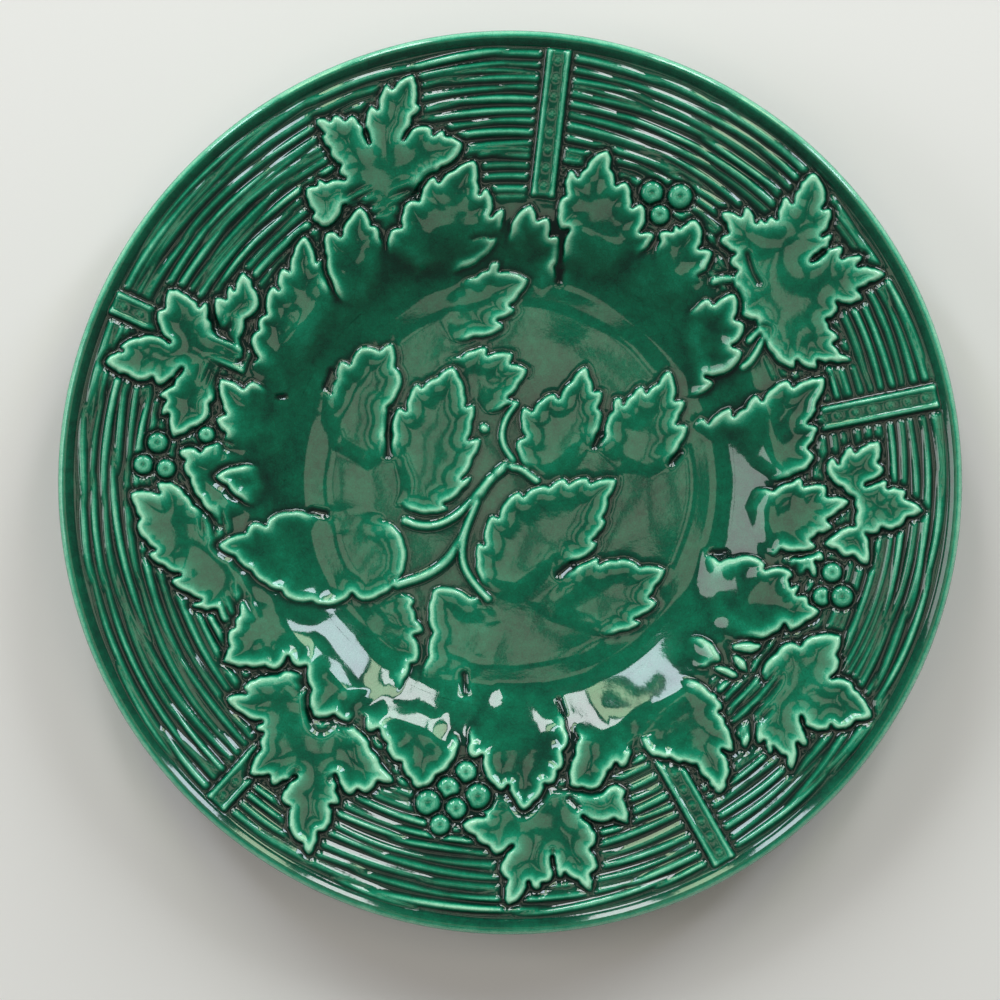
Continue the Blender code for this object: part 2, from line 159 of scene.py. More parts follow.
WREATH_LEAVES = [
    ([
        (-64.6, 27), (-64.6, 29.8), (-63.4, 31.2), (-65, 36), (-63, 38.4), (-63, 41), (-61, 42.2),
        (-61.2, 45.5), (-59.6, 49.2), (-57.9, 48.4), (-58.3, 51), (-57, 53.8), (-55.2, 53),
        (-54.4, 57.5), (-51.6, 62), (-49.2, 58.8), (-48.4, 55.2), (-46.9, 56), (-45.4, 50), (-43.4, 45)],
        [(-44, 38), (-50, 28), (-57, 21)]),
    ([
        (-41, 44), (-44.8, 50), (-46.2, 57), (-46.4, 62.4), (-44.6, 63.1), (-42.4, 61.9),
        (-40.2, 66.5), (-37.3, 69.3), (-34.6, 64.6), (-33.3, 64.4), (-32.4, 61.5), (-31.5, 57)],
        [(-31, 50), (-35, 44)]),
    ([
        (-30.6, 56), (-30.2, 63.2), (-27.4, 64.2), (-27, 68), (-25.4, 70.7), (-22.8, 70.6),
        (-21.2, 75.2), (-19, 76.9), (-17.8, 75.3), (-14, 78.4), (-8.7, 80.9), (-7.9, 75.5),
        (-7.6, 72.3), (-5.9, 73.8), (-4.1, 70), (-4.7, 66.9), (-1.6, 69), (-1.7, 65.5), (-3.2, 61.5)],
        [(-6, 56), (-14, 52), (-24, 51)]),
    ([
        (-0.6, 59), (0, 63.5), (0.9, 66.4), (5.2, 69.9), (7, 66), (9.8, 66.6), (10.2, 62), (12.4, 62),
        (13, 57.5), (11.4, 54.5), (11.2, 50)], [(8, 47), (3, 52)]),
    ([
        (13.4, 54), (13.2, 58), (14.6, 63.4), (12.4, 63.6), (11.8, 68), (12.6, 71.2), (14, 72),
        (13.8, 76), (15.2, 78.4), (17, 76.6), (19, 79), (21.4, 82), (24.6, 83.2), (25.4, 78.5),
        (26.6, 74.5), (29.2, 75.4), (30.6, 71), (30.6, 69), (33.2, 70), (34.2, 66.5), (32.8, 62.8),
        (36.4, 62.4), (35.4, 60), (33, 57.5), (31, 56)], [(28, 51), (20, 50)]),
    ([
        (36, 56), (37.5, 60.5), (37.2, 62.6), (40.6, 63), (41.4, 64.6), (42.4, 63.6), (44, 65),
        (46.4, 65.9), (48.2, 63), (48.2, 60.5), (47.4, 58.6), (50.6, 57.9), (50, 55), (47.4, 51.8),
        (48.8, 50.6), (48.2, 49.4)], [(44, 44), (38, 47)]),
    ([
        (44, 41), (46.6, 44.4), (49.6, 46.4), (51, 45), (56.4, 47.7), (57.3, 44), (56.6, 41),
        (58.9, 39.9), (58.4, 36.6), (56, 34.3), (58.5, 32.8), (56.6, 28.8), (52.6, 26.8),
        (49.6, 26.8), (51.8, 25.1), (48.6, 22.3), (44.6, 21.8)], [(44, 29), (42, 36)]),
    ([
        (46, 13.6), (48.4, 16.6), (50.2, 15.2), (55.6, 19.2), (56.4, 17), (59, 19), (61.6, 22.3),
        (63.2, 20.8), (66, 24.2), (69.2, 25.8), (70.8, 24.2), (78.9, 26.4), (77, 20), (74.6, 14.8),
        (77.1, 13.8), (74.8, 8.6), (76.4, 6.2), (73, 2.4), (68.4, 0.4), (64, 0.8)],
        [(60, 4), (56, 10), (50, 10)]),
    ([
        (68, -19.5), (73, -18.6), (77.2, -16.4), (78.8, -19.4), (76.4, -19.8), (76.6, -23.9),
        (74.4, -22), (71.5, -23.4)], [(68, -22)]),
    ([
        (60.5, -1.5), (66, -1.8), (70.5, 0.4), (72.8, 1.6), (73.6, -0.8), (78.9, -0.6), (79.2, -3.4),
        (85.2, -4.4), (82, -7.5), (79.4, -9.4), (81, -11.4), (77, -13), (75.4, -14.4), (77, -16.4),
        (72, -17.5), (68, -17), (66, -18.6), (63.6, -16.4)], [(60, -13), (58, -6)]),
    ([
        (56, -14.6), (52, -15.2), (50.2, -18), (53, -19.6), (56.5, -18.6), (61, -18.2), (64.2, -20.4),
        (64, -21.6), (69, -21.2), (71.2, -23.2), (70, -24.4), (70.4, -26), (72.4, -25.6),
        (71.8, -28), (74.4, -28.4), (75, -30.2), (77.6, -32.2), (74, -35), (70.2, -37.2),
        (68.6, -35.6), (66, -38), (62, -39.6), (56, -40.4)], [(50, -36), (46, -26), (48, -16)]),
    ([
        (-60, 22), (-64.4, 25.6), (-66.8, 23.8), (-72.8, 26.2), (-72.2, 19.5), (-71.3, 17.2),
        (-73.9, 15.9), (-71.4, 12.2), (-72, 9.8), (-68.4, 8)], [(-62, 7), (-58, 13)]),
    ([
        (-74, -9.5), (-79, -5.5), (-81, -2.8), (-84, 0), (-88.2, -0.2), (-87.4, -2.6), (-94.8, -2.4),
        (-93.6, -6.5), (-92.4, -9), (-93.4, -11), (-91, -14.5), (-88.6, -16.8), (-90.5, -18),
        (-86.5, -21), (-82.4, -23), (-84.8, -24.7), (-80, -28), (-77.2, -29.4), (-79.6, -30.8),
        (-73, -31.8), (-71.5, -35)], [(-66, -30), (-63, -24), (-68, -15)]),
    ([
        (-70.5, 9.5), (-74, 10.2), (-77.5, 8), (-80, 9), (-83, 7.8), (-81.4, 5.5), (-81.8, 3.4),
        (-80.2, 1), (-79.4, -1.5), (-77.6, -4.5), (-75, -8), (-72.5, -10.5)],
        [(-64, -8), (-60, 0), (-64, 6)]),
    ([
        (-62, 4), (-68.5, 4.2), (-74, 1.6), (-71, -0.8), (-67.5, -4.2), (-63.5, -6)], [(-59, -2)]),
    ([(55.5, -61.5), (57.6, -64.8), (58.8, -66.6), (60.2, -63), (60.2, -59.5)], [(57, -57)]),
    ([
        (31.6, -65), (33.5, -66.8), (37.5, -68.8), (40, -69), (43.8, -70.2), (46.5, -70.6),
        (49.4, -74.6), (52.5, -77.9), (54.2, -74.6), (54.8, -70.4), (53, -66.8), (55.8, -67.3),
        (55.6, -63.6), (54.2, -60.4), (52.4, -57.4), (53.6, -56.6), (50, -52), (45, -49), (42, -49.5)],
        [(36, -53), (32, -58)]),
    ([
        (16, -60), (17, -64), (16, -68), (14.8, -76), (18, -76.6), (21.9, -76.9), (23.4, -75),
        (24.6, -72.4), (26.5, -70.4), (28, -71.4), (29.8, -70), (30.4, -66.5), (31.6, -64.6)],
        [(32, -56), (24, -56)]),
    ([
        (-9.6, -60), (-10.4, -65), (-10.8, -67.6), (-9.4, -69.3), (-7, -68.6), (-6.6, -72),
        (-4.4, -75.6), (-2.2, -77.2), (-0.4, -76), (1.2, -79.6), (3.4, -82.2), (6, -80), (8.6, -76.8),
        (8.6, -75.6), (11.4, -75), (12, -72.4), (13.4, -71.6), (13.4, -67.6), (15, -65), (14.2, -61.6),
        (12, -56)], [(8, -50), (-4, -50)]),
    ([
        (-66.5, -29), (-68, -33), (-69, -36), (-70.8, -38), (-70.2, -41), (-71.7, -44.8), (-66, -46.2),
        (-61.4, -46), (-58.4, -47.2), (-55.6, -43.8), (-53.6, -46.4), (-51.2, -46.2), (-50, -52),
        (-49.4, -58.6), (-44, -58.4), (-40.4, -60.2), (-38.4, -56.5)],
        [(-34, -52), (-46, -38), (-58, -29)]),
    ([
        (-38.6, -56.8), (-36.6, -59), (-35.6, -62.6), (-33, -62), (-31, -65.5), (-29.6, -69.4),
        (-27.4, -70.2), (-25, -74.4), (-22, -77.3), (-18.4, -73.6), (-14.6, -70.4), (-12.9, -67),
        (-12.7, -64.3), (-15, -62)], [(-14, -57), (-22, -53), (-32, -53)]),
    ([(44, -39.6), (46, -38.6), (49.6, -39.4), (52, -42), (53.2, -45), (48.6, -46.6), (45.4, -46)],
           [(43, -43)]),
    ([(55.4, -40.6), (63.4, -40.4), (62, -42.4), (56, -42.2)], []),
    ([(55.8, -43), (58.4, -44), (59.6, -47.6), (56.6, -46)], []),
    ([(50.6, -46.2), (54, -46), (57.7, -48.9), (53, -48)], []),
]

WELL_LEAVES = [
    ([(-16, 52.6), (-12, 54), (-7, 56.6), (-2.9, 61.6), (-4.6, 61.5), (-9, 61)],
                  [(-12, 61), (-18, 58)]),
    ([
        (-13.5, 50.2), (-8.6, 52.4), (-5.6, 54), (-4.8, 55.8), (-2.5, 55.9), (-2.7, 53.6), (4.9, 51.7),
        (2.6, 47.6), (0.2, 45), (1.5, 43.6), (-3, 41.2), (-1.4, 39.8), (-2.8, 38.2), (-9, 36.8),
        (-15, 36)], [(-19, 41), (-17, 47)]),
    ([
        (-47.5, 27), (-47.8, 23.8), (-45.4, 22.8), (-44.2, 26.4), (-43, 31), (-40.6, 30.2),
        (-37.8, 34.6), (-33, 33.8), (-29.8, 35.6), (-28.9, 29.5), (-27.2, 26.6), (-28.2, 22.6),
        (-31, 19), (-31.4, 12), (-31.2, 6)], [(-36, 2), (-46, 8), (-50, 18)]),
    ([
        (-16.5, 31.2), (-12.5, 32.2), (-9, 34), (-5.8, 34.6), (-5.6, 32.6), (0.8, 33), (0.4, 30.4),
        (4.6, 28.8), (2.6, 25), (-0.2, 21.6), (2.4, 20.5), (-1, 19.2), (-6.4, 17.4)],
        [(-9, 20), (-10.5, 25)]),
    ([
        (-29.7, 5.5), (-29.9, 12), (-29.6, 17), (-28.2, 19.3), (-26.4, 18.4), (-25.8, 22),
        (-23.6, 25.4), (-22.4, 24.4), (-18.5, 27), (-14.5, 29.7), (-12.6, 27), (-11.2, 22.5),
        (-11, 19.6), (-8.9, 20), (-9.4, 15), (-10.4, 11), (-7.2, 11.2), (-9.2, 6), (-12, 1),
        (-9.4, 1.8), (-12, -2), (-16.6, -5.4), (-15.4, -6.8), (-20, -8), (-24, -7.6), (-27.5, -5.8),
        (-30, -6.2)], [(-29, -3), (-29.2, 1)]),
    ([
        (6.4, 0.8), (3.6, 3.8), (1.8, 7.4), (1.4, 10.4), (3.6, 11.8), (2.6, 15), (3.2, 19.5),
        (5.6, 18.4), (8, 21.4), (11.2, 22.9), (12.4, 21.6), (15.5, 26), (19.2, 29.8), (20.4, 27),
        (21.4, 23.4), (23.6, 23.2), (22.6, 19), (23.7, 17.2), (22, 12), (20.4, 8.8)],
        [(17, 2.5), (11, 0)]),
    ([
        (22.8, 7.4), (24, 12), (24.4, 16), (26, 18.4), (26.4, 21.4), (28.2, 21.8), (28.8, 20),
        (31, 22.6), (33.4, 24.8), (34.6, 23), (37.5, 25.4), (40.3, 28.8), (42, 25.5), (42, 21),
        (44.6, 20.8), (43.2, 17), (42.4, 15), (45.3, 14.4), (43.4, 9.6), (41, 6.2), (40.6, 3.8)],
        [(36, 0), (27, 2)]),
    ([
        (13, -24.6), (16, -22), (20, -19.6), (22.6, -18.9), (22.8, -20.4), (27, -19.4), (30.2, -19.3),
        (33, -21), (39.7, -21.9), (37, -26.5), (35.6, -29), (37.6, -30.6), (33.6, -33.8),
        (31.8, -34.6), (33.6, -35.6), (28, -38), (22, -38.6)], [(10, -36), (4, -30)]),
    ([
        (-5.4, -28.4), (-8, -24), (-8.8, -19.6), (-8.2, -15), (-6.6, -15.6), (-6.4, -11), (-4.6, -8),
        (-3, -8.6), (-1.2, -4.6), (2.4, -2), (3.4, -3.2), (7, -0.6), (10, -0.8), (13.6, 1.4), (15, 0),
        (19.6, 1.6), (20.6, 0.2), (27.3, 1.1), (25.2, -4), (23.8, -8.9), (24.6, -9.8), (22.6, -13),
        (21.2, -14.6), (22.4, -15.3), (20.6, -18), (16, -20), (12.4, -21.2)], [(9, -26), (2, -31)]),
    ([
        (-29.2, -26.8), (-26.5, -28), (-24, -29.8), (-24.6, -31.4), (-23.6, -34.5), (-21.6, -37.6),
        (-24.2, -38.8), (-22.8, -42), (-23.4, -45.6), (-25, -46), (-26.6, -50), (-28.6, -53.4)],
        [(-32, -52), (-40, -40), (-34, -29)]),
    ([
        (-22.4, -50), (-20.8, -44), (-19.8, -38), (-20.8, -33), (-20.2, -29.2), (-19.4, -26.8),
        (-16.4, -26.2), (-10, -28.8), (-5, -29.6)], [(0, -34), (-4, -46), (-14, -54)]),
    ([
        (-47, -7.8), (-51, -7.6), (-55.5, -7), (-60.2, -8.4), (-61.4, -10.6), (-64.6, -9.8),
        (-66.4, -12.4), (-73.2, -15.7), (-69, -18.6), (-65, -22.4), (-61.6, -25.6), (-57.5, -27.4),
        (-55.8, -29.4), (-50, -30.2), (-47.4, -31.2), (-42.6, -30.4), (-40, -28.3), (-37.4, -30.2),
        (-32.6, -28.8), (-28.4, -25.4), (-26.3, -20.5), (-26.6, -15.4), (-28.6, -11.6), (-31.8, -9.4),
        (-32.2, -7.4)], [(-36, -6), (-42, -6.5)]),
]

LEAF_BOW = 0.10  # how far a side between two teeth bows out, as a share of its length
LEAF_LAYERS = (
    (RIM_LEAVES, {"rise": 1.8, "dish": 0.5, "paler": 0.1, "ripple": 0.2, "border": 2.4}),
    (WREATH_LEAVES, {"rise": 1.8, "dish": 0.66, "paler": 0.0, "ripple": 0.22, "border": 2.6}),
    (WELL_LEAVES, {"rise": 1.3, "dish": 0.82, "paler": 0.1, "ripple": 0.03, "border": 2.3}),
)
STEM_RISE = 1.25
CUT_DEPTH = 0.8

STEMS = [  # path and half width
    ([(0.5, 5.5), (-4, 2), (-7, -2), (-9, -6), (-10.6, -10), (-12.6, -15), (-16, -20), (-21, -23.5),
      (-28.5, -25.8)], 0.95),
    ([(-5, 1), (-9, -4), (-13, -8), (-18, -10.8), (-23, -11), (-26.5, -9.6)], 0.8),
    ([(-8.5, -5), (-10.2, -9), (-11.8, -14), (-12.3, -19), (-11, -23), (-7.5, -27.5), (-5.5, -29.5)], 0.7),
    ([(1, 5.5), (-1.5, 9), (-2.2, 12.5), (-1, 16.5), (1.5, 20)], 0.6),
    ([(0.5, 4), (3, 3.5), (5.5, 1.5), (6.8, 0.5)], 0.7),
    ([(-6.7, 14), (-6.3, 13.6)], 0.8),
    ([(63.8, 38), (62.6, 34), (60.4, 30.4), (58.6, 29)], 0.7),
    ([(60, 35.6), (62.5, 38.2)], 0.7),
    ([(51.2, 50.4), (53, 51), (55.2, 51)], 0.8),
]

HOLLOWS = [  # short deep cuts between lobes: path and half width
    ([(59.3, 57), (60.4, 53), (62.3, 49.8)], 0.7),
    ([(-50, -57.5), (-49.5, -61), (-47, -62.6), (-44.8, -61)], 1.1),
    ([(-54.3, -73), (-53.4, -72.2)], 0.9),
    ([(-44.9, -74), (-44.4, -73.4)], 0.8),
    ([(15, -79), (17, -81)], 0.8),
    ([(51.6, -17.8), (54.5, -17.6)], 0.9),
    ([(41, 5), (43.2, 7.6)], 0.7),
    ([(21.5, 9.2), (22.8, 12)], 0.7),
    ([(12.4, -23.2), (15.4, -20.8)], 1.0),
    ([(-50, -7.3), (-46.8, -7.8)], 0.9),
    ([(-11.6, -48.6), (-11.2, -53)], 0.9),
    ([(12.4, -55), (13.4, -58)], 0.7),
    ([(-30.9, 7), (-31.1, 17)], 0.9),
    ([(-46.8, 24.4), (-45.4, 28.4)], 0.8),
    ([(-58.4, 21.6), (-56.8, 21.8)], 0.7),
    ([(12.4, 51), (12.8, 53.6)], 0.9),
    ([(-24, 72.5), (-22.6, 72.6)], 1.0),
    ([(10.6, -92), (10.8, -96)], 0.7),
    ([(-74, 38.6), (-73.6, 41.4)], 0.7),
]

BERRIES = [  # where and how wide, in clusters of three to six
    (35.5, 72.5, 3.0), (42.5, 71.5, 3.2), (37.5, 67.0, 2.6),
    (-88.0, 10.0, 2.7), (-91.5, 4.5, 2.6), (-86.0, 3.5, 2.5), (-76.0, 12.0, 2.2),
    (80.5, -22.5, 2.6), (78.0, -28.5, 2.5), (83.0, -28.5, 2.9),
    (-11.0, -72.5, 2.8), (-15.5, -76.5, 3.0), (-20.5, -80.0, 3.3), (-8.0, -78.5, 3.3),
    (-13.5, -81.5, 2.8), (-17.5, -85.5, 2.7),
]

# ---------------------------------------------------------------- measuring on the map


def window(points, margin):
    """The part of the map round some points, as slices."""
    xs = [p[0] for p in points]
    ys = [p[1] for p in points]
    first = [int((min(v) - margin + REACH) / PITCH) for v in (xs, ys)]
    last = [int((max(v) + margin + REACH) / PITCH) + 2 for v in (xs, ys)]
    return np.s_[max(first[1], 0):min(last[1], SIDE), max(first[0], 0):min(last[0], SIDE)]


def gap_to(path, x, y):
    """Distance from each place to a bent line."""
    best = np.full(x.shape, 1e9)
    for (ax, ay), (bx, by) in zip(path, path[1:]):
        dx, dy = bx - ax, by - ay
        along = np.clip(((x - ax) * dx + (y - ay) * dy) / (dx * dx + dy * dy + 1e-9), 0.0, 1.0)
        np.minimum(best, (x - ax - along * dx) ** 2 + (y - ay - along * dy) ** 2, out=best)
    return np.sqrt(best)


def within(ring, x, y):
    """Whether each place is inside a closed outline."""
    inside = np.zeros(x.shape, bool)
    for (ax, ay), (bx, by) in zip(ring, ring[1:] + ring[:1]):
        if ay == by:
            continue
        crosses = (ay > y) != (by > y)
        inside ^= crosses & (x < (bx - ax) * (y - ay) / (by - ay) + ax)
    return inside


def swelled(edge, outward, share):
    """The edge with each side between two teeth bowed outwards, so that every tooth ends in a point."""
    bowed = [edge[0]]
    for (ax, ay), (bx, by) in zip(edge, edge[1:]):
        nx, ny = (by - ay) * outward, (ax - bx) * outward
        for t in (0.3, 0.65):
            swell = share * 4.0 * t * (1.0 - t)
            bowed.append((ax + (bx - ax) * t + nx * swell, ay + (by - ay) * t + ny * swell))
        bowed.append((bx, by))
    return bowed


# ---------------------------------------------------------------- the relief

relief = np.zeros(map_r.shape)
ripples = cloudy(3.4, 21)
veil = -0.3 * smooth((map_r - 72.0) / 3.0)  # how much paler the glaze lies on a layer


WICKER_INNER, WICKER_OUTER, WICKER_ROWS = 71.0, 108.0, 14
STRAPS, STRAP_FIRST_DEG = 5, 11.5
STRAP_INNER, STRAP_OUTER, STRAP_HALF_WIDTH = 72.0, 108.6, 3.15


def weave_wicker():
    """Long tapering willow rods laid round the rim, row by row, overlapping at their ends."""
    picked = (map_r > 68.0) & (map_r < 109.5)
    r, a = map_r[picked], map_a[picked]
    height = np.zeros(r.shape)
    rng = np.random.default_rng(7)
    spacing = (WICKER_OUTER - WICKER_INNER) / (WICKER_ROWS - 0.5)
    for row in range(2 * WICKER_ROWS):
        extra = row >= WICKER_ROWS  # a second, sparser set lies half a row over
        middle = WICKER_INNER + (row % WICKER_ROWS + 0.5 * extra) * spacing
        close = np.abs(r - middle) < 3.4
        rr, aa = r[close], a[close]
        level = height[close]
        start = rng.uniform(-math.pi, math.pi)
        turned = 0.0
        while turned < 2 * math.pi:
            length = rng.uniform(18.0, 46.0) / middle
            centre = start + turned + 0.5 * length
            turned += length * (rng.uniform(3.0, 8.0) if extra else 1.02)
            lean = rng.uniform(-1.0, 1.0)
            half = rng.uniform(0.85, 1.2) * (0.8 if extra else 1.0)
            tall = rng.uniform(0.7, 1.3) * (0.8 if extra else 1.0)
            s = (aa - centre + math.pi) % (2 * math.pi) - math.pi
            s = s / (0.64 * length)
            taper = np.clip(1.0 - np.abs(s) ** 2.4, 0.0, 1.0) ** 0.6
            bend = 0.2 * np.sin(2.6 * s + lean * 3.0)
            across = (rr - middle - lean * s * 0.7 - bend) / (half * (0.3 + 0.7 * taper))
            rod = tall * taper * np.clip(1.0 - across ** 2, 0.0, 1.0) ** 0.85
            np.maximum(level, rod, out=level)
        height[close] = level
    relief[picked] = height
    relief[:] *= smooth((map_r - 70.0) / 3.0) * smooth((109.3 - map_r) / 1.2)
    relief[:] *= 1.0 + 0.10 * np.clip(cloudy(4.0, 3), -2, 2)


def lay_straps():
    """Five flat bands across the wicker, each with raised sides and a row of small knots."""
    for n in range(STRAPS):
        angle = math.radians(STRAP_FIRST_DEG + 360.0 * n / STRAPS)
        along = map_x * math.cos(angle) + map_y * math.sin(angle)
        across = -map_x * math.sin(angle) + map_y * math.cos(angle)
        ends = np.minimum(along - STRAP_INNER, STRAP_OUTER - along)
        inside = np.minimum(STRAP_HALF_WIDTH - np.abs(across), ends)
        near = (along > 60.0) & (np.abs(across) < 8.0)
        lift = 0.8 + 0.6 * np.exp(-((np.abs(across) - 2.35) / 0.62) ** 2)
        knots = np.exp(-((across / 0.9) ** 2)) * (0.5 + 0.5 * np.cos(along * 2 * math.pi / 4.4)) ** 3
        lift = lift + 0.35 * knots
        mask = smooth(inside / 0.5)
        clear = smooth((-inside - 0.3) / 1.6)
        changed = np.where(inside > 0, mask * lift, relief * clear)
        relief[near] = changed[near]


def lay_leaf(leaf, rise, dish, paler, ripple, border):
    """One leaf: a raised sharp-toothed edge, a blade that dips to its middle, and a clear gap round it."""
    edge, root = leaf
    ring = edge + root
    area = sum(a[0] * b[1] - b[0] * a[1] for a, b in zip(ring, ring[1:] + ring[:1]))
    closed = not root
    line = swelled(edge + edge[:1] if closed else edge, 1.0 if area > 0 else -1.0, LEAF_BOW)
    place = window(line + root, 5.0)
    x, y = map_x[place], map_y[place]
    inside = within(line[:-1] if closed else line + root, x, y)
    gap = gap_to(line, x, y)
    hold = np.ones(x.shape)
    if root:
        hold = smooth((gap_to([line[-1]] + root + [line[0]], x, y) - 0.2) / 5.5)
    ramp = smooth(gap / 0.8)
    fall = 1.0 - np.exp(-((np.maximum(gap - 0.4, 0.0) / border) ** 1.3))
    blade = rise * ramp * (1.0 - dish * fall) + ripple * ripples[place] * smooth(gap / 3.0)
    mask = np.where(inside, ramp * hold, 0.0)
    under = relief[place]
    clear = np.where(inside, 1.0, smooth((gap - 0.2) / 1.9))
    moat = np.where(inside, 0.0, 0.12 * np.exp(-((gap / 0.9) ** 2)))
    relief[place] = under * (1.0 - mask) * clear - moat * np.clip(hold + 0.4, 0, 1) + mask * blade
    veil[place] = veil[place] * (1.0 - mask) + (paler + 0.85 * np.exp(-gap / 2.0)) * mask


def rounded(path):
    """The bent line with its corners cut back twice, so that it runs in a curve."""
    for _ in range(2):
        cut = [path[0]]
        for (ax, ay), (bx, by) in zip(path, path[1:]):
            cut.append((0.75 * ax + 0.25 * bx, 0.75 * ay + 0.25 * by))
            cut.append((0.25 * ax + 0.75 * bx, 0.25 * ay + 0.75 * by))
        path = cut + [path[-1]]
    return path


def lay_stroke(path, half, rise):
    """A round stem where rise is up, or a cut with a soft lip where it is down."""
    path = rounded(path)
    place = window(path, 6.0)
    gap = gap_to(path, map_x[place], map_y[place])
    if rise > 0:
        bar = rise * np.sqrt(np.clip(1.0 - (gap / (half * 1.25)) ** 2, 0.0, 1.0))
        moat = 0.4 * np.exp(-(((gap - half * 1.9) / 0.7) ** 2))
        relief[place] = np.maximum(relief[place] - moat, bar)
    else:
        relief[place] += rise * np.exp(-((gap / half) ** 2))


def lay_berry(x0, y0, radius):
    """A domed berry with a small dimple."""
    place = window([(x0, y0)], radius + 3.0)
    far = np.hypot(map_x[place] - x0, map_y[place] - y0) / radius
    turn = np.arctan2(map_y[place] - y0, map_x[place] - x0)
    star = 0.22 * (1.0 + 0.5 * np.cos(5 * turn + x0))
    dome = 1.5 * np.sqrt(np.clip(1.0 - far ** 2.2, 0.0, 1.0)) - 0.6 * np.exp(-((far / star) ** 2))
    clear = smooth((far - 1.0) / 0.5)
    moat = 0.45 * np.exp(-(((far - 1.0) / 0.25) ** 2))
    relief[place] = np.where(far < 1.0, dome, relief[place] * clear - moat)


weave_wicker()
lay_straps()
for leaves, shape in LEAF_LAYERS:
    for leaf in leaves:
        lay_leaf(leaf, **shape)
for path, half in STEMS:
    lay_stroke(path, half, STEM_RISE)
for berry in BERRIES:
    lay_berry(*berry)
for path, half in HOLLOWS:
    lay_stroke(path, half, -CUT_DEPTH)

# The hand-pressed face is never quite even, least of all on the shoulder.
shoulder = np.exp(-(((map_r - 63.0) / 6.0) ** 2))
uneven = 0.08 * cloudy(5.0, 11) + 0.17 * shoulder * cloudy(3.2, 12) * smooth((108.0 - map_r) / 4.0)
relief += uneven
# The glaze runs off the crests and pools in the hollows.
pool = 0.55 * (softened(relief, 0.75) - relief) + 0.4 * (softened(relief, 2.2) - relief)
pool = softened(np.where(pool > 0.0, 0.85 * pool, pool), 0.3)
skin = softened(relief, 0.3)
slope_y, slope_x = np.gradient(skin + face_height(map_r), PITCH)


def read_map(field, x, y):
    """The field between its samples, at places given in millimetres."""
    u = np.clip((x + REACH) / PITCH - 0.5, 0, SIDE - 2)
    v = np.clip((y + REACH) / PITCH - 0.5, 0, SIDE - 2)
    i, j = u.astype(int), v.astype(int)
    s, t = u - i, v - j
    near = field[j, i] * (1 - s) + field[j, i + 1] * s
    far = field[j + 1, i] * (1 - s) + field[j + 1, i + 1] * s
    return near * (1 - t) + far * t


# ---------------------------------------------------------------- meshes


BURIED = 2.2  # depth of a relief mesh's back under the plain face
WELL_BACK = 3.5


def finish_piece(name, shape):
    mesh = bpy.data.meshes.new(name)
    shape.to_mesh(mesh)
    shape.free()
    obj = bpy.data.objects.new(name, mesh)
    bpy.context.scene.collection.objects.link(obj)
    mesh.shade_smooth()
    return obj


def press_relief(obj, back):
    """Presses a flat blank onto the face: its top takes the relief, its back is buried, at most back high."""
    mesh = obj.data
    count = len(mesh.vertices)
    place = np.empty(count * 3)
    mesh.vertices.foreach_get("co", place)
    place = place.reshape(-1, 3)
    x, y = place[:, 0] / MM, place[:, 1] / MM
    top = place[:, 2] > 0
    radius = np.hypot(x, y)
    base = face_height(radius)
    lift = read_map(skin, x, y)
    place[:, 2] = np.where(top, base + lift, np.minimum(base - BURIED, back)) * MM
    mesh.vertices.foreach_set("co", place.ravel())
    for label, field in (("pool", pool), ("veil", veil)):
        layer = mesh.attributes.new(label, "FLOAT", "POINT")
        layer.data.foreach_set("value", np.where(top, read_map(field, x, y), 0.0).astype(np.float32))
    normals = np.stack([-read_map(slope_x, x, y), -read_map(slope_y, x, y), np.ones(count)], axis=1)
    normals[~top] = (0.0, 0.0, -1.0)
    normals /= np.linalg.norm(normals, axis=1)[:, None]
    mesh.normals_split_custom_set_from_vertices(normals.tolist())


def back_off(shape):
    """Drops a skirt from the open edges of a blank and leaves its lower edges open."""
    rim = [edge for edge in shape.edges if edge.is_boundary]
    grown = bmesh.ops.extrude_edge_only(shape, edges=rim)["geom"]
    lower = [item for item in grown if isinstance(item, bmesh.types.BMVert)]
    bmesh.ops.translate(shape, verts=lower, vec=(0, 0, -0.002))
    return [edge for edge in shape.edges if edge.is_boundary]


def ring_blank(name, inner, outer, rows, turns):
    """A flat ring blank, a grid bent round until its ends meet, with a plain back."""
    shape = bmesh.new()
    bmesh.ops.create_grid(shape, x_segments=turns, y_segments=rows, size=1.0)
    for vert in shape.verts:
        angle = math.pi * vert.co.x
        radius = inner + (outer - inner) * (0.5 - 0.5 * vert.co.y)
        vert.co = (radius * MM * math.cos(angle), radius * MM * math.sin(angle), 0.001)
    bmesh.ops.remove_doubles(shape, verts=shape.verts, dist=1e-6)
    bmesh.ops.bridge_loops(shape, edges=back_off(shape))
    bmesh.ops.recalc_face_normals(shape, faces=shape.faces)
    return finish_piece(name, shape)


def disc_blank(name, radius, cells):
    """A round blank cut as a square grid eased into a disc, with a plain back."""
    shape = bmesh.new()
    bmesh.ops.create_grid(shape, x_segments=cells, y_segments=cells, size=1.0)
    for vert in shape.verts:
        u, v = vert.co.x, vert.co.y
        vert.co.x = u * math.sqrt(max(1.0 - v * v / 2.0, 0.0)) * radius * MM
        vert.co.y = v * math.sqrt(max(1.0 - u * u / 2.0, 0.0)) * radius * MM
        vert.co.z = 0.001
    bmesh.ops.holes_fill(shape, edges=back_off(shape), sides=0)
    bmesh.ops.recalc_face_normals(shape, faces=shape.faces)
    return finish_piece(name, shape)


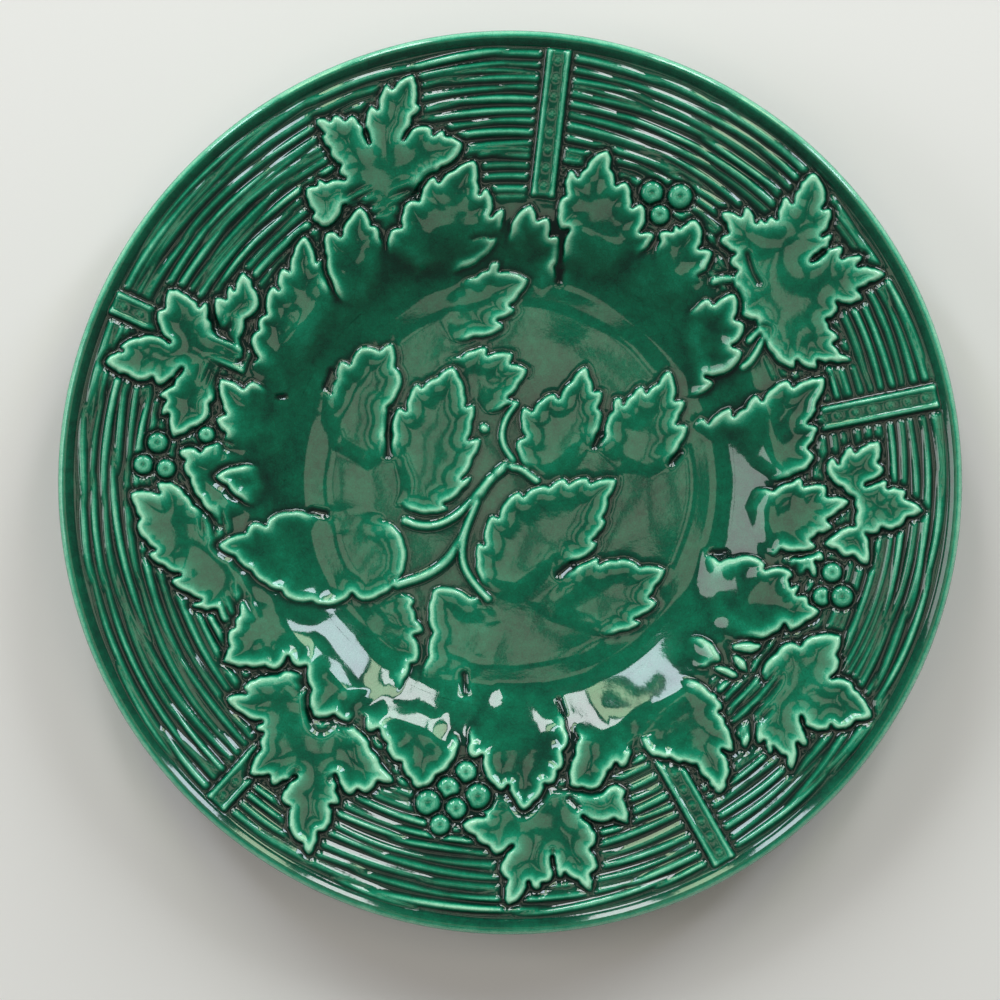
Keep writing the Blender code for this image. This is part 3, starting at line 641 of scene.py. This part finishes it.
def turned_body():
    """The turned biscuit under the relief: lip, back, foot ring, and the face a little below the relief."""
    shape = bmesh.new()
    under_relief = (
        0.0, 12.0, 26.0, 40.0, 48.0, 54.0, 58.0, 62.0, 66.0, 72.0, 80.0, 90.0, 100.0, 106.0, 108.2,
    )
    lip = (108.9, 109.2, 109.6, 110.0, 110.4, 110.8, 111.2, 111.6, 112.0, 112.3)
    line = [(r, float(face_height(r)) - 0.9) for r in under_relief]
    line += [(r, float(face_height(r))) for r in lip]
    line += [(112.5, 22.3), (112.45, 21.8), (112.1, 21.2), (111.3, 20.6), (110.0, 20.0), (104.0, 18.0)]
    line += [(96.0, 16.5), (88.0, 15.0), (80.0, 13.5), (72.0, 12.0), (66.0, 9.8), (61.0, 6.0), (57.8, 3.0)]
    line += [(56.9, 1.6), (56.4, 0.5), (55.8, 0.08), (55.2, 0.0), (53.0, 0.0), (52.2, 0.1), (51.6, 0.6)]
    line += [(50.9, 1.5), (49.4, 1.9), (40.0, 1.8), (20.0, 1.7), (0.0, 1.6)]
    verts = [shape.verts.new((r * MM, 0.0, z * MM)) for r, z in line]
    edges = [shape.edges.new(pair) for pair in zip(verts, verts[1:])]
    bmesh.ops.spin(
        shape, geom=verts + edges, cent=(0, 0, 0), axis=(0, 0, 1), angle=2 * math.pi, steps=360,
        use_merge=True,
    )
    bmesh.ops.remove_doubles(shape, verts=shape.verts, dist=1e-7)
    bmesh.ops.recalc_face_normals(shape, faces=shape.faces)
    body = finish_piece("plate_body", shape)
    mesh = body.data
    place = np.empty(len(mesh.vertices) * 3)
    mesh.vertices.foreach_get("co", place)
    place = place.reshape(-1, 3)
    radius = np.hypot(place[:, 0], place[:, 1]) / MM
    height = place[:, 2] / MM
    crest = np.exp(-(((radius - 111.8) / 0.7) ** 2)) * (height > 21.5)
    groove = np.exp(-(((radius - 109.3) / 0.9) ** 2)) * (height > 21.5)
    layer = mesh.attributes.new("pool", "FLOAT", "POINT")
    layer.data.foreach_set("value", (-0.34 * crest + 0.08 * groove).astype(np.float32))
    layer = mesh.attributes.new("veil", "FLOAT", "POINT")
    layer.data.foreach_set("value", (0.5 * crest).astype(np.float32))
    return body


# ---------------------------------------------------------------- glaze


def green_glaze():
    """Green gloss glaze: pale where thin, near black where it pools, clouded and finely crazed."""
    material = bpy.data.materials.new("green_glaze")
    material.use_nodes = True
    tree = material.node_tree
    nodes, links = tree.nodes, tree.links
    shader = nodes["Principled BSDF"]

    def add(kind, **settings):
        node = nodes.new(kind)
        for key, value in settings.items():
            setattr(node, key, value)
        return node

    def maths(operation, a, b, clamp=False):
        node = add("ShaderNodeMath", operation=operation, use_clamp=clamp)
        for socket, value in zip(node.inputs, (a, b)):
            if isinstance(value, (int, float)):
                socket.default_value = value
            else:
                links.new(value, socket)
        return node.outputs[0]

    place = add("ShaderNodeTexCoord").outputs["Object"]
    pooled = add("ShaderNodeAttribute", attribute_name="pool").outputs["Fac"]
    veiled = add("ShaderNodeAttribute", attribute_name="veil").outputs["Fac"]

    def cloud(scale, detail, rough=0.55):
        node = add("ShaderNodeTexNoise")
        node.inputs["Scale"].default_value = scale
        node.inputs["Detail"].default_value = detail
        node.inputs["Roughness"].default_value = rough
        links.new(place, node.inputs["Vector"])
        return node.outputs["Fac"]

    broad = maths("SUBTRACT", cloud(45.0, 3.0), 0.5)
    mottle = maths("SUBTRACT", cloud(420.0, 3.0, 0.6), 0.5)
    grain = maths("SUBTRACT", cloud(2600.0, 2.0, 0.7), 0.5)
    thick = maths("MULTIPLY", broad, 0.30)
    thick = maths("ADD", maths("ADD", pooled, thick), maths("MULTIPLY", mottle, 0.20))
    thick = maths("ADD", thick, maths("MULTIPLY", grain, 0.22))
    thick = maths("SUBTRACT", thick, maths("MULTIPLY", veiled, 0.20))
    thick = maths("ADD", maths("MULTIPLY", thick, 0.75), 0.5, clamp=True)
    ramp = add("ShaderNodeValToRGB")
    links.new(thick, ramp.inputs["Fac"])
    stops = [
        (0.11, (0.38, 0.80, 0.55)),
        (0.24, (0.11, 0.53, 0.33)),
        (0.36, (0.004, 0.27, 0.148)),
        (0.47, (0.0, 0.148, 0.074)),
        (0.58, (0.0, 0.060, 0.033)),
        (0.72, (0.0, 0.015, 0.010)),
    ]
    elements = ramp.color_ramp.elements
    while len(elements) < len(stops):
        elements.new(0.5)
    for element, (where, colour) in zip(elements, stops):
        element.position = where
        element.color = (*colour, 1.0)

    craze = add("ShaderNodeTexVoronoi", feature="DISTANCE_TO_EDGE")
    craze.inputs["Scale"].default_value = 330.0
    warp = add("ShaderNodeVectorMath", operation="ADD")
    wobble = add("ShaderNodeTexNoise")
    wobble.inputs["Scale"].default_value = 160.0
    links.new(place, wobble.inputs["Vector"])
    shrink = add("ShaderNodeVectorMath", operation="SCALE")
    shrink.inputs["Scale"].default_value = 0.004
    links.new(wobble.outputs["Color"], shrink.inputs[0])
    links.new(place, warp.inputs[0])
    links.new(shrink.outputs[0], warp.inputs[1])
    links.new(warp.outputs[0], craze.inputs["Vector"])
    lines = maths("SUBTRACT", 1.0, maths("MULTIPLY", craze.outputs["Distance"], 16.0), clamp=True)
    crazed = add("ShaderNodeMix", data_type="RGBA", blend_type="MULTIPLY")
    links.new(maths("MULTIPLY", lines, 0.28), crazed.inputs["Factor"])
    links.new(ramp.outputs["Color"], crazed.inputs["A"])
    crazed.inputs["B"].default_value = (0.35, 0.5, 0.4, 1.0)

    # The foot's edge was wiped clean of glaze before firing.
    split = add("ShaderNodeSeparateXYZ")
    links.new(place, split.inputs[0])
    bare = maths("LESS_THAN", split.outputs["Z"], 0.00035)
    final = add("ShaderNodeMix", data_type="RGBA")
    links.new(bare, final.inputs["Factor"])
    links.new(crazed.outputs["Result"], final.inputs["A"])
    final.inputs["B"].default_value = (0.62, 0.52, 0.38, 1.0)
    links.new(final.outputs["Result"], shader.inputs["Base Color"])

    rough = maths("ADD", maths("MULTIPLY", mottle, 0.05), 0.07)
    rough = maths("ADD", rough, maths("MULTIPLY", bare, 0.5))
    links.new(rough, shader.inputs["Roughness"])
    shader.inputs["IOR"].default_value = 1.55
    shader.inputs["Coat Weight"].default_value = 0.25
    shader.inputs["Coat Roughness"].default_value = 0.03

    orange_peel = cloud(700.0, 2.0)
    bump = add("ShaderNodeBump")
    bump.inputs["Strength"].default_value = 0.06
    bump.inputs["Distance"].default_value = 0.0002
    links.new(orange_peel, bump.inputs["Height"])
    links.new(bump.outputs["Normal"], shader.inputs["Normal"])
    return material


# ---------------------------------------------------------------- build

glaze = green_glaze()
turns = 1440
pieces = [turned_body()]
blanks = [disc_blank("well_relief", 57.0, 300)]
for name, inner, outer in (
    ("wreath_relief", 56.8, 75.0),
    ("inner_wicker_relief", 75.0, 92.0),
    ("outer_wicker_relief", 92.0, 109.05),
):
    blanks.append(ring_blank(name, inner, outer, 62, turns))
for blank in blanks:
    press_relief(blank, WELL_BACK if blank is blanks[0] else math.inf)
pieces += blanks
for piece in pieces:
    piece.data.materials.append(glaze)
    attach(piece, "root")
    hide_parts("plate")

# ---------------------------------------------------------------- floor, light, camera


def pale_floor():
    shape = bmesh.new()
    bmesh.ops.create_grid(shape, x_segments=1, y_segments=1, size=3.0)
    floor = finish_piece("floor", shape)
    material = bpy.data.materials.new("pale_floor")
    material.use_nodes = True
    shader = material.node_tree.nodes["Principled BSDF"]
    shader.inputs["Base Color"].default_value = (0.90, 0.87, 0.87, 1.0)
    shader.inputs["Roughness"].default_value = 0.9
    floor.data.materials.append(material)


CEILING_HEIGHT = 1.6  # metres, as everything from here on
WINDOW_MIDDLE, WINDOW_TALL = 0.82, 0.75
LIP_HEIGHT = 0.024
CAMERA_ABOVE_LIP = 0.80
SEEN_WIDTH = 0.2483


def soft_light(name, at, aim, width, height, radiance, colour=(1, 1, 1)):
    """A flat soft light of even brightness, aimed at a point."""
    lamp = bpy.data.lights.new(name, "AREA")
    lamp.shape = "RECTANGLE"
    lamp.size = width
    lamp.size_y = height
    lamp.spread = math.pi
    lamp.color = colour
    lamp.energy = radiance * width * height * math.pi
    obj = bpy.data.objects.new(name, lamp)
    bpy.context.scene.collection.objects.link(obj)
    obj.location = at
    toward = Vector([aim[k] - at[k] for k in range(3)])
    obj.rotation_euler = toward.to_track_quat("-Z", "Y").to_euler()
    return obj


WARM = (1.0, 0.95, 0.74)
COOL = (0.80, 0.90, 1.0)
DAY = (0.97, 0.98, 1.0)

pale_floor()
# A bright ceiling broken by darker gaps, and two windows of two panes each behind the far edge.
for name, x0, x1, y0, y1, radiance in (
    ("ceiling_right", 0.01, 0.20, -0.06, 0.21, 1.45),
    ("ceiling_far_right", 0.34, 0.86, -0.30, 0.62, 1.35),
    ("ceiling_middle", -0.09, -0.02, -0.05, 0.20, 1.3),
    ("ceiling_left", -0.24, -0.15, -0.20, 0.22, 1.45),
    ("ceiling_far_left", -0.88, -0.42, -0.40, 0.50, 1.3),
    ("ceiling_near", -0.30, 0.34, -0.80, -0.42, 1.1),
    ("ceiling_far", -0.34, 0.22, 0.40, 0.66, 1.2),
):
    middle = ((x0 + x1) / 2, (y0 + y1) / 2)
    soft_light(
        name, (*middle, CEILING_HEIGHT), (*middle, 0), x1 - x0, y1 - y0, 0.85 * radiance, WARM
    )
for name, x, y, width, radiance, colour in (
    ("left_pane", -0.78, 1.02, 0.20, 9.5, COOL),
    ("left_middle_pane", -0.55, 1.15, 0.18, 6.0, (0.80, 1.0, 0.66)),
    ("left_end_pane", -0.32, 1.24, 0.20, 9.5, DAY),
    ("right_pane", 0.50, 1.18, 0.20, 9.5, DAY),
    ("right_middle_pane", 0.72, 1.06, 0.18, 6.0, (0.84, 1.0, 0.70)),
    ("right_end_pane", 0.92, 0.90, 0.20, 9.5, COOL),
):
    soft_light(name, (x, y, WINDOW_MIDDLE), (0, 0, 0), width, WINDOW_TALL, radiance, colour)
soft_light("side_fill", (-2.0, 0.2, 1.1), (0, 0, 0), 1.0, 1.0, 3.0)

world = bpy.data.worlds.new("soft_room")
bpy.context.scene.world = world
world.use_nodes = True
world.node_tree.nodes["Background"].inputs["Color"].default_value = (1.0, 0.98, 1.0, 1.0)
world.node_tree.nodes["Background"].inputs["Strength"].default_value = 0.14

lens = bpy.data.cameras.new("overhead_camera")
lens.sensor_width = 36.0
lens.lens = lens.sensor_width * CAMERA_ABOVE_LIP / SEEN_WIDTH
camera = bpy.data.objects.new("overhead_camera", lens)
bpy.context.scene.collection.objects.link(camera)
camera.location = (-0.0025, -0.00435, CAMERA_ABOVE_LIP + LIP_HEIGHT)
camera.rotation_euler = (0.0, 0.0, 0.0)
bpy.context.scene.camera = camera

bpy.context.scene.view_settings.view_transform = "Standard"
